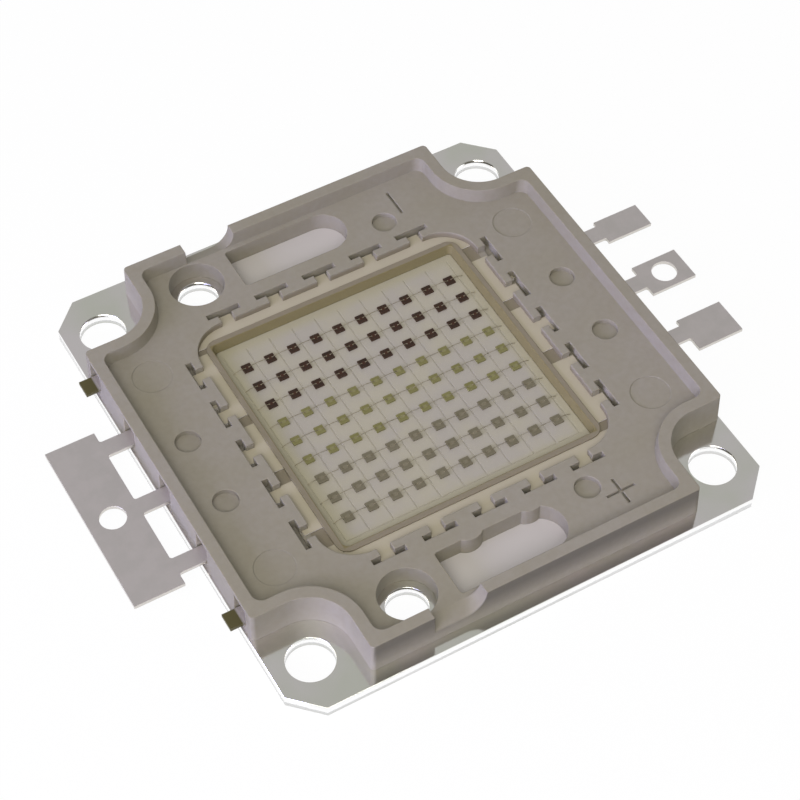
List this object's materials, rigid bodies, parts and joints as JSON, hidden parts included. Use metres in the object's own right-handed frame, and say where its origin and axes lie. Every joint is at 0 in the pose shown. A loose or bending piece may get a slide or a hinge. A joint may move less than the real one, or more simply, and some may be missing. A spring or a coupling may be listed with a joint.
{
  "type": "rgb led chip",
  "caption": "Flat square LED module with red, green and blue die rows under clear gel, eared metal base and side leads.",
  "frame": {"origin": "centre of the base plate's underside", "axes": "+X from the common lead towards the three colour leads, +Z out of the window, +Y from the blue die rows towards the red"},
  "size_m": [0.052, 0.0424, 0.0038],
  "materials": {
    "plated_base": "silver-plated copper, satin to mirror, with fine rolling grain",
    "frame_plastic": "moulded greyish white polyphthalamide, matte",
    "plated_leads": "silver-plated copper strip, stamped, satin",
    "plated_circuit": "plated circuit sheet, smooth",
    "red_die": "red LED die, dark brown, smooth",
    "green_die": "green LED die, olive, smooth",
    "blue_die": "blue LED die, grey olive, smooth",
    "bond_wire": "fine gold alloy bond wire",
    "clear_gel": "clear silicone gel, glossy top"
  },
  "bodies": {
    "root": {"base_plate": "plated_base", "housing": "frame_plastic", "common_lead": "plated_leads", "red_lead": "plated_leads", "green_lead": "plated_leads", "blue_lead": "plated_leads", "back_strip": "plated_leads", "front_strip": "plated_leads", "circuit_sheet": "plated_circuit", "red_dies_row_1": "red_die", "red_dies_row_2": "red_die", "red_dies_row_3": "red_die", "green_dies_row_1": "green_die", "green_dies_row_2": "green_die", "green_dies_row_3": "green_die", "blue_dies_row_1": "blue_die", "blue_dies_row_2": "blue_die", "blue_dies_row_3": "blue_die", "red_wires_row_1": "bond_wire", "red_wires_row_2": "bond_wire", "red_wires_row_3": "bond_wire", "green_wires_row_1": "bond_wire", "green_wires_row_2": "bond_wire", "green_wires_row_3": "bond_wire", "blue_wires_row_1": "bond_wire", "blue_wires_row_2": "bond_wire", "blue_wires_row_3": "bond_wire", "gel_fill": "clear_gel"}
  },
  "joints": []
}
